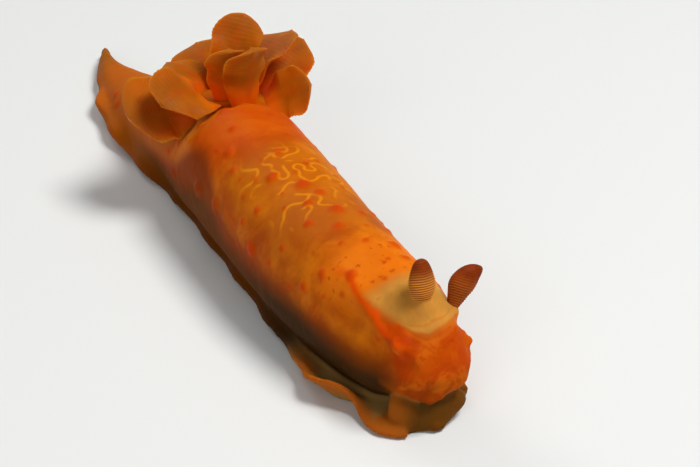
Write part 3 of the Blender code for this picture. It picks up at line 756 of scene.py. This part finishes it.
skinColours = {
    # a pattern is a noise's scale, detail, roughness and distortion, and the range of it that shows
    "deep": (0.44, 0.062, 0.0006),
    "bright": (0.66, 0.165, 0.004),
    "cloud": ((190, 4, 0.65, 0.6), (0.35, 0.65)),
    "mottle": (0.36, 0.055, 0.002),
    "mottled": ((620, 4, 0.6), (0.45, 0.72)),
    "mottleShare": 0.55,
    # over that, in this order: what the skin map calls it, how strongly, and the colour
    "layers": (("glands", 0.5, (0.58, 0.16, 0.004)), ("dim", 0.55, (0.4, 0.085, 0.008)),
               ("bright", 0.85, (0.84, 0.19, 0.005)), ("red", 0.8, (0.58, 0.062, 0.0005)),
               ("rearBack", 0.9, (0.4, 0.078, 0.001)), ("tail", 0.7, (0.5, 0.105, 0.001)),
               ("tailTip", 0.9, (0.27, 0.082, 0.001)), ("pale", 0.95, (0.6, 0.29, 0.046)),
               # the cheek layer: the darker lower face and the painted shade behind the veil's left corner
               ("face", 0.9, (0.46, 0.04, 0.0006)), ("cheek", 0.8, (0.24, 0.038, 0.001))),
    "patchy": ((260, 3, 0.6), (0.25, 0.6, 0.7, 1)),
    # streaks and specks of the face, veins of the bare patch, freckles of the neck: pattern, share, colour
    "flecks": (("face", ((650, 4, 0.65, 0.5), (0.45, 0.7)), 0.45, (0.74, 0.17, 0.006)),
               ("face", ((1300, 2), (0.6, 0.7)), 0.6, (0.42, 0.035, 0.0006)),
               ("pale", ((520, 4, 0.6, 1.2), (0.38, 0.62)), 0.4, (0.42, 0.17, 0.03)),
               ("bright", ((1900, 2), (0.62, 0.7)), 0.7, (0.46, 0.045, 0.001))),
    "thread": (0.8, 0.27, 0.004),
    "threadScale": 720,
    "threadWidth": 0.19 * mm,
    "threadStep": 0.02 * mm,  # over which the noise's slope is taken
    "threadBreaks": ((460, 1), (0.42, 0.5)),
    "threadShare": 0.6,
    # the dark flank at the front, in the middle and at the rear: partly its own brown, partly painted shade
    "flankHigh": ((0.23, 0.042, 0.002), (0.235, 0.034, 0.001), (0.42, 0.082, 0.001)),
    "flank": ((0.03, 0.016, 0.0045), (0.12, 0.032, 0.001), (0.3, 0.066, 0.001)),
    "flankShare": 0.92,
    # the foot, its orange rim, and painted shade under the face
    "lowLayers": (("foot", 0.92, (0.36, 0.2, 0.055)), ("rim", 0.9, (0.38, 0.082, 0.002)),
                  ("shadeUnderFace", 0.85, (0.085, 0.034, 0.003))),
    "wander": (380, 3, 0.6),  # the noise that bends the streak and the creases
    "ridge": (0.74, 0.075, 0.0005),
    "ridgeWidth": 7,  # degrees round the body
    "ridgeWander": 22,
    # each crease: how far behind the edge of the pale patch, its width, its colour and how strongly it shows
    "creases": ((0.5, 0.16, (0.56, 0.13, 0.006), 0.4), (0.22, 0.25, (0.66, 0.31, 0.05), 0.15),
                (-0.08, 0.16, (0.5, 0.07, 0.002), 0.35), (-0.45, 0.2, (0.66, 0.17, 0.01), 0.3),
                (-0.9, 0.16, (0.36, 0.04, 0.001), 0.3)),
    "creaseWander": 1.1,
    "creaseFade": (-12, -24),  # degrees from the fold
    "spot": (0.56, 0.04, 0.0004),
    "spotFade": (0.2, 0.9, 0.75, 0.2),  # the pustules' colour is weaker on the dark flank and its painted shade
    "bump": {"Strength": 0.45, "Distance": 0.1 * mm},
    "bumpGrain": (1500, 4, 0.6),
    "shader": {"Specular IOR Level": 0.04, "Subsurface Weight": 0.35, "Subsurface Scale": 1.0 * mm},
}


def skinMaterial():
    look = skinColours
    made, tree = newMaterial("skinFinish", {**wetFlesh, **look["shader"]})
    colour = tree.mix(tree.pattern(*look["cloud"]), look["deep"], look["bright"])
    mottled = tree.product(tree.pattern(*look["mottled"]), look["mottleShare"])
    colour = tree.mix(mottled, colour, look["mottle"])
    patchy = tree.pattern(*look["patchy"])
    for name, amount, over in look["layers"]:
        colour = tree.mix(tree.product(tree.attribute(name), amount, patchy), colour, over)
    for name, pattern, amount, over in look["flecks"]:
        colour = tree.lay(colour, name, tree.product(tree.pattern(*pattern), amount), over)
    # glands show through the back as short yellow threads
    # each thread is a level line of a noise, kept to one width by dividing by the slope there
    step = look["threadStep"]

    def level(*move):
        grain = {"Vector": tree.vector("ADD", tree.place, move), "Scale": look["threadScale"], "Detail": 0.0}
        return tree.add("ShaderNodeTexNoise", grain, noise_dimensions="2D").outputs[0]

    here = level(0, 0, 0)
    rises = [tree.math("SUBTRACT", level(*move), here) for move in ((step, 0, 0), (0, step, 0))]
    slope = tree.math("SQRT", tree.math("ADD", *(tree.product(rise, rise) for rise in rises)))
    fromLine = tree.math("ABSOLUTE", tree.math("SUBTRACT", here, 0.5))
    fromLine = tree.product(tree.math("DIVIDE", fromLine, slope), step)
    thread = tree.remap(fromLine, look["threadWidth"], look["threadWidth"] / 3)
    thread = tree.product(thread, tree.pattern(*look["threadBreaks"]), look["threadShare"])
    colour = tree.lay(colour, "organs", thread, look["thread"])
    # the dark flank laid over the back: partly its own brown, partly painted shade
    for name in ("flankHigh", "flank"):
        front, middle, rear = look[name]
        over = tree.mix(tree.attribute("midFlank"), front, middle)
        over = tree.mix(tree.attribute("rearFlank"), over, rear)
        colour = tree.lay(colour, name, look["flankShare"], over)
    for name, amount, over in look["lowLayers"]:
        colour = tree.lay(colour, name, amount, over)
    wander = tree.math("SUBTRACT", tree.noise(tree.place, *look["wander"]), 0.5)
    fromFold = tree.math("MULTIPLY_ADD", wander, look["ridgeWander"], tree.attribute("fromFold"))
    ridge = tree.remap(tree.math("ABSOLUTE", fromFold), look["ridgeWidth"], 0.0)
    colour = tree.lay(colour, "ridge", ridge, look["ridge"])
    along = tree.math("MULTIPLY_ADD", wander, look["creaseWander"], tree.attribute("beforeFace"))
    upperFace = tree.remap(tree.attribute("fromFold"), *look["creaseFade"])
    for place, width, over, amount in look["creases"]:
        near = tree.remap(tree.math("ABSOLUTE", tree.math("SUBTRACT", along, place)), width, 0.0, 0.0, amount)
        colour = tree.mix(tree.product(near, upperFace), colour, over)
    spotted = tree.remap(tree.attribute("flankHigh"), *look["spotFade"])
    tree.put(tree.lay(colour, "spot", spotted, look["spot"]), tree.shader["Base Color"])
    height = tree.noise(tree.place, *look["bumpGrain"])
    bump = tree.add("ShaderNodeBump", {**look["bump"], "Height": height})
    tree.put(bump.outputs[0], tree.shader["Normal"])
    return made


runTree(skin, pustuleTree(), {**pustules, "Material": skinMaterial()})
print("pustules raised")

# rhinophores: a short stalk and a flattened club ringed with fine plates

rhinoShape = {
    "Half Thickness": 0.62 * mm,
    "Stalk Radius": 0.4 * mm,
    "Stalk Share": 0.12,
    "Plates": 18.0,
    "Slant": 0.09,
    "Smile": 0.05,
}

clubForm = {
    "sides": 48,
    "rings": 190,
    # the club's width from its foot to its tip, as a share of the widest
    "outline": ((0.0, 0.46), (0.12, 0.76), (0.35, 1.0), (0.6, 0.93), (0.8, 0.76), (0.92, 0.55),
                (0.975, 0.34), (1.0, 0.05)),
    "platePower": 0.7,
    "plateFade": (0.42, 0.85, 1.0, 0.12),
    "plateStart": (0.0, 0.06),
    "bendPower": 4.0,
}

rhinoColours = {
    "plain": ((0.185, 0.021, 0.001), (0.25, 0.032, 0.001)),
    "mottled": ((900.0, 3.0), (0.35, 0.65)),
    "plate": (0.72, 0.26, 0.035),
    "platePower": 1.3,
    "plateShare": 0.95,
    "shader": {"Specular IOR Level": 0.1, "Subsurface Weight": 0.25, "Subsurface Scale": 0.4 * mm},
}


def rhinoTree():
    form = clubForm
    own = ["Length", "Half Width", "Top Weight", "Plate Rise", "Plate Mark", "Bend"]
    made = nodeTree("rhinophore", {"Float": [*rhinoShape, *own], "Vector": ["Axis", "Wide"]})
    given = made.given
    tube, along, across, through = made.tube(form["sides"], form["rings"])
    club = made.remap(along, given["Stalk Share"], 1.0, smooth=False)
    onClub = made.math("GREATER_THAN", along, given["Stalk Share"])
    fatness = made.outline(form["outline"], made.math("POWER", club, given["Top Weight"]))
    # the plates slant, turn up at their ends, and fade towards the tip
    level = made.math("MULTIPLY_ADD", through, given["Slant"], club)
    level = made.math("SUBTRACT", level, made.product(across, across, given["Smile"]))
    wave = made.math("SINE", made.product(given["Plates"], level, math.pi))
    ridge = made.math("POWER", made.math("ABSOLUTE", wave), form["platePower"])
    reachUp = made.remap(club, *form["plateFade"])
    reachDown = made.remap(club, *form["plateStart"])
    rise = made.product(ridge, given["Plate Rise"], made.product(reachUp, reachDown))

    def thickness(name):
        clubbed = made.math("MULTIPLY_ADD", given[name], fatness, rise)
        choice = {0: onClub, 1: given["Stalk Radius"], 2: clubbed}
        return made.add("GeometryNodeSwitch", choice, input_type="FLOAT").outputs[0]

    place = made.scaled(given["Wide"], made.product(across, thickness("Half Width")))
    thin = made.vector("CROSS_PRODUCT", given["Axis"], given["Wide"])
    bend = made.product(made.math("POWER", club, form["bendPower"]), given["Bend"])
    for direction, size in ((thin, made.product(through, thickness("Half Thickness"))),
                            (given["Axis"], made.product(along, given["Length"])), (given["Wide"], bend)):
        place = made.vector("ADD", place, made.scaled(direction, size))
    # the tube starts at the one point of the geometry it is given
    root = {"Geometry": given["Geometry"], "Value": made.add("GeometryNodeInputPosition").outputs[0]}
    root = made.add("GeometryNodeSampleIndex", root, data_type="FLOAT_VECTOR", domain="POINT")
    place = made.vector("ADD", place, root.outputs[0])
    shown = made.product(reachUp, onClub, given["Plate Mark"])
    return made.finish(made.store(tube, "plate", made.product(ridge, shown)), Position=place)


def rhinoMaterial():
    look = rhinoColours
    made, tree = newMaterial("rhinophoreFinish", {**wetFlesh, **look["shader"]})
    plain = tree.mix(tree.pattern(*look["mottled"]), *look["plain"])
    plate = tree.product(tree.math("POWER", tree.attribute("plate"), look["platePower"]), look["plateShare"])
    tree.put(tree.mix(plate, plain, look["plate"]), tree.shader["Base Color"])
    return made


rhinoFinish = rhinoMaterial()
clubTree = rhinoTree()
pieces = {}
for name, shape in rhinophores.items():
    root = onBody(shape["y"], shape["angle"], -shape["sunk"])
    axis = Vector((shape["lean"][0], shape["lean"][1], 1)).normalized()
    thin = axis.cross(Vector((1, 0, 0))).normalized()
    club = newMesh(name + "_club", [toFrame(root)], [])
    own = {name: value for name, value in shape.items() if name[0].isupper()}
    own.update({"Axis": axis, "Wide": thin.cross(axis), "Material": rhinoFinish})
    runTree(club, clubTree, {**rhinoShape, **own})
    pieces[name] = club
print("rhinophores made")

# gills: pinnate leaves in a ring round the vent

gillShape = {
    # azimuth from the left side towards the tail, ring radius, length, lean at the root and the tip,
    # half width, twist
    "gill_1": (-25, 3.3, 4.6, 60, 62, 2.5, 30),
    "gill_2": (13, 2.3, 7.2, 16, 79, 3.0, -14),
    "gill_3": (24, 3.3, 7.5, 51, 79, 2.5, 23),
    "gill_4": (45, 1.3, 7.1, 4, 62, 2.2, 12),
    "gill_5": (84, 3.3, 5.7, 60, 84, 2.8, -13),
    "gill_6": (123, 2.0, 4.6, 28, 105, 2.3, 9),
    "gill_7": (184, 3.3, 5.5, 60, 111, 3.3, -28),
    "gill_8": (206, 2.3, 5.8, 28, 112, 2.6, -30),
    "gill_9": (265, 1.5, 5.0, 6, 15, 1.9, 1),
    "gill_10": (288, 3.1, 5.4, 0, 21, 2.2, 0),
}

leafShape = {
    "Branches": 20.0,
    "Branch Rise": 0.014 * mm,
    "Branch Slant": 0.2,
    "Web": 0.46 * mm,
    "Midrib": 0.08 * mm,
    "Tooth Depth": 0.025,
    "Ruffle": 0.2 * mm,
}

leafForm = {
    "sides": 56,
    "rings": 110,
    # the leaf's width from its root to its tip, as a share of the half width
    "outline": ((0.0, 0.45), (0.1, 0.62), (0.25, 0.82), (0.42, 0.96), (0.6, 1.03), (0.78, 0.96), (0.9, 0.72),
                (0.97, 0.4), (1.0, 0.08)),
    "widen": 1.08,  # of the half widths above
    "opening": (0.1, 0.35),  # where along the leaf its branches and ruffle begin
    "toothPower": 3.0,
    "midribSpan": (0.0, 0.3),
    "ruffleTurns": 15.0,  # radians from root to tip
    "ruffleBySide": 0.9,
    "rufflePower": 2.0,
    "ruffleByLeaf": 1.7,
    "twistBy": 2.0,  # the twist is full at half the length
    "slantBy": 3.0,  # the branches slant fully from a third of it
    "rootDepth": 0.7,
    "rootRise": 0.35,
    "lineSteps": 32,
}

gillColours = {
    "cloud": (330.0, 4.0),
    "leaf": ((0.33, 0.078, 0.001), (0.41, 0.106, 0.002)),
    "leafSpan": (0.35, 0.65),
    "root": ((0.66, 0.080, 0.0004), (0.76, 0.110, 0.0006)),
    "rootSpan": (0.4, 0.6),
    "rootReach": (0.1, 0.55),
    "branch": (0.50, 0.14, 0.008),
    "branchSpan": (0.05, 0.5),
    "branchShare": 0.1,
    "midrib": (0.46, 0.05, 0.001),
    "midribSpan": (0.25, 0.0),
    "midribShare": 0.35,
    "tip": (0.30, 0.105, 0.008),
    "tipReach": (0.7, 1.0, 0.0, 0.6),
    "shader": {"Specular IOR Level": 0.1, "Subsurface Weight": 1.0, "Subsurface Radius": (1.0, 0.4, 0.12),
               "Subsurface Scale": 1.6 * mm},
}


def backHeight(x, y):
    low, high = bodyAt("belly", y), bodyAt("crest", y)
    share = min(1.0, abs(x - bodyAt("spine", y)) / bodyAt("halfWidth", y))
    return (low + high) / 2 + (high - low) / 2 * math.sqrt(1 - share * share)


def leafLine(azimuth, ringRadius, length, leanRoot, leanTip):
    # the leaf's middle line, from under the skin to the tip
    turn = math.radians(azimuth)
    out, lean = ringRadius, math.radians(leanRoot)
    depth, steps = leafForm["rootDepth"], leafForm["lineSteps"]
    height = backHeight(ventCentre[0] + out * math.cos(turn), ventCentre[1] + out * math.sin(turn))
    height += leafForm["rootRise"]
    line = [(out - depth * math.sin(lean), height - depth * math.cos(lean)), (out, height)]
    for step in range(steps):
        lean = math.radians(leanRoot + (leanTip - leanRoot) * (step + 0.5) / steps)
        out += math.sin(lean) * length / steps
        height += math.cos(lean) * length / steps
        line.append((out, height))
    return [(ventCentre[0] + out * math.cos(turn), ventCentre[1] + out * math.sin(turn), height)
            for out, height in line]


def leafTree():
    form = leafForm
    own = ["Half Width", "Twist", "Azimuth", "Phase"]
    made = nodeTree("leaf", {"Float": [*leafShape, *own], "Vector": ["Centre"]})
    given = made.given
    tube, along, across, through = made.tube(form["sides"], form["rings"])
    fromMiddle = made.math("ABSOLUTE", across)
    outline = made.outline(form["outline"], along)
    opened = made.remap(along, *form["opening"])
    # every branch ends in a tooth of the margin
    wave = made.math("COSINE", made.product(along, given["Branches"], math.tau))
    ridge = made.math("MULTIPLY_ADD", wave, 0.5, 0.5)
    atMargin = made.product(made.math("POWER", fromMiddle, form["toothPower"]), opened)
    drawn = made.product(made.math("SUBTRACT", 1.0, ridge), given["Tooth Depth"], atMargin)
    outline = made.product(outline, made.math("SUBTRACT", 1.0, drawn))
    sideways = made.product(across, given["Half Width"], outline)
    midrib = made.product(given["Midrib"], made.remap(fromMiddle, *form["midribSpan"], 1.0, 0.0))
    ribs = made.product(ridge, given["Branch Rise"], opened)
    half = made.math("ADD", made.product(given["Web"], 0.5), made.math("ADD", midrib, ribs))
    phase = made.math("MULTIPLY_ADD", made.math("SIGN", across), form["ruffleBySide"], given["Phase"])
    wave = made.math("SINE", made.math("ADD", made.product(along, form["ruffleTurns"]), phase))
    atMargin = made.product(made.math("POWER", fromMiddle, form["rufflePower"]), opened)
    ruffle = made.product(wave, given["Ruffle"], atMargin)
    level = made.math("ADD", made.product(through, half), ruffle)
    twist = made.product(given["Twist"], made.math("MINIMUM", 1.0, made.product(along, form["twistBy"])))
    cosine, sine = made.math("COSINE", twist), made.math("SINE", twist)
    inwards = made.math("ADD", made.product(level, cosine), made.product(sideways, sine))
    outwards = made.math("SUBTRACT", made.product(sideways, cosine), made.product(level, sine))
    growing = made.math("MINIMUM", 1.0, made.product(along, form["slantBy"]))
    growing = made.product(made.math("SUBTRACT", 1.0, along), growing)
    slanted = made.product(fromMiddle, given["Branch Slant"], growing)
    line = made.add("GeometryNodeMeshToCurve", {"Mesh": given["Geometry"]}).outputs[0]
    line = {"Curves": line, "Factor": made.math("MINIMUM", 1.0, made.math("ADD", along, slanted))}
    line = made.add("GeometryNodeSampleCurve", line, mode="FACTOR", use_all_curves=True).outputs
    sine, cosine = made.math("SINE", given["Azimuth"]), made.math("COSINE", given["Azimuth"])
    side = made.add("ShaderNodeCombineXYZ", {0: made.product(sine, -1.0), 1: cosine}).outputs[0]
    facing = made.vector("CROSS_PRODUCT", line["Tangent"], side)
    # the leaf bends round the ring's own axis
    fromAxis = made.vector("MULTIPLY", made.vector("SUBTRACT", line["Position"], given["Centre"]), (1, 1, 0))
    turned = {"Vector": made.vector("ADD", line["Position"], made.scaled(facing, inwards)),
              "Angle": made.math("DIVIDE", outwards, made.vector("LENGTH", fromAxis)),
              "Center": given["Centre"]}
    turned = made.add("ShaderNodeVectorRotate", turned, rotation_type="Z_AXIS").outputs[0]
    for name, value in (("branch", made.product(ridge, opened)), ("edge", fromMiddle), ("reach", along)):
        tube = made.store(tube, name, value)
    return made.finish(tube, Position=turned)


def gillMaterial():
    look = gillColours
    made, tree = newMaterial("gillFinish", {**wetFlesh, **look["shader"]})
    cloud = tree.noise(tree.place, *look["cloud"])
    reach, edge = tree.attribute("reach"), tree.attribute("edge")
    leaf = tree.mix(tree.remap(cloud, *look["leafSpan"]), *look["leaf"])
    root = tree.mix(tree.remap(cloud, *look["rootSpan"]), *look["root"])
    colour = tree.mix(tree.remap(reach, *look["rootReach"]), root, leaf)
    branch = tree.product(tree.remap(edge, *look["branchSpan"]), look["branchShare"])
    colour = tree.lay(colour, "branch", branch, look["branch"])
    midrib = tree.product(tree.remap(edge, *look["midribSpan"]), look["midribShare"])
    colour = tree.mix(midrib, colour, look["midrib"])
    colour = tree.mix(tree.remap(reach, *look["tipReach"]), colour, look["tip"])
    tree.put(colour, tree.shader["Base Color"])
    return made


gillFinish = gillMaterial()
gillTree = leafTree()
ringCentre = toFrame((*ventCentre, 0))
for number, (name, shape) in enumerate(gillShape.items()):
    azimuth, ringRadius, length, leanRoot, leanTip, halfWidth, twist = shape
    points = toFrame(leafLine(azimuth, ringRadius, length, leanRoot, leanTip))
    leaf = newMesh(name + "_leaf", points, [], [(k, k + 1) for k in range(len(points) - 1)])
    own = {"Half Width": halfWidth * leafForm["widen"] * mm, "Twist": math.radians(twist),
           "Azimuth": math.radians(azimuth), "Phase": leafForm["ruffleByLeaf"] * number,
           "Centre": ringCentre, "Material": gillFinish}
    runTree(leaf, gillTree, {**leafShape, **own})
    pieces[name] = leaf
print("gills made")


# floor, lights and camera

stage = {
    "floorSize": 1.2,
    "floor": {"Base Color": (0.78, 0.78, 0.76, 1), "Roughness": 0.8},
    "cameraPlace": (-0.04617, -0.12134, 0.07263),
    "cameraTurn": (60.0, 0.0, -25.0),
    "lens": 90.0,
    "sensor": 36.0,
    "nearest": 0.005,
    "lampAim": (0.0, 0.0, 0.005),
    "world": {"Color": (0.72, 0.78, 0.80, 1), "Strength": 0.22},
}

floor = newMesh("floor", [(a * stage["floorSize"], b * stage["floorSize"], 0) for a, b in
                          ((-1, -1), (1, -1), (1, 1), (-1, 1))], [(0, 1, 2, 3)])
floor.data.materials.append(newMaterial("paleFloor", stage["floor"])[0])

lamps = {
    # place, size and watts
    "keyLight": ((0.14, -0.13, 0.36), 0.16, 1.4),
    "fillLight": ((-0.30, -0.30, 0.22), 0.3, 0.5),
    "backLight": ((-0.05, 0.34, 0.24), 0.2, 0.4),
}
for name, (place, size, watts) in lamps.items():
    light = bpy.data.lights.new(name, "AREA")
    light.shape = "DISK"
    light.size = size
    light.energy = watts
    lamp = bpy.data.objects.new(name, light)
    lamp.location = place
    lamp.rotation_mode = "QUATERNION"
    lamp.rotation_quaternion = (Vector(stage["lampAim"]) - Vector(place)).to_track_quat("-Z", "Y")
    bpy.context.scene.collection.objects.link(lamp)

world = bpy.data.worlds.new("studio")
world.use_nodes = True
for name, value in stage["world"].items():
    world.node_tree.nodes["Background"].inputs[name].default_value = value
bpy.context.scene.world = world
bpy.context.scene.view_settings.view_transform = "Standard"

camera = bpy.data.objects.new("camera", bpy.data.cameras.new("camera"))
camera.location = Vector(stage["cameraPlace"]) + Vector(shift) * mm
camera.rotation_euler = [math.radians(turn) for turn in stage["cameraTurn"]]
camera.data.lens = stage["lens"]
camera.data.sensor_width = stage["sensor"]
camera.data.clip_start = stage["nearest"]
bpy.context.scene.collection.objects.link(camera)
bpy.context.scene.camera = camera

# what stands for what

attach(skin, "root")
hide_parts(*fleshNodes)
for name, piece in pieces.items():
    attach(piece, "root")
    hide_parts(name)
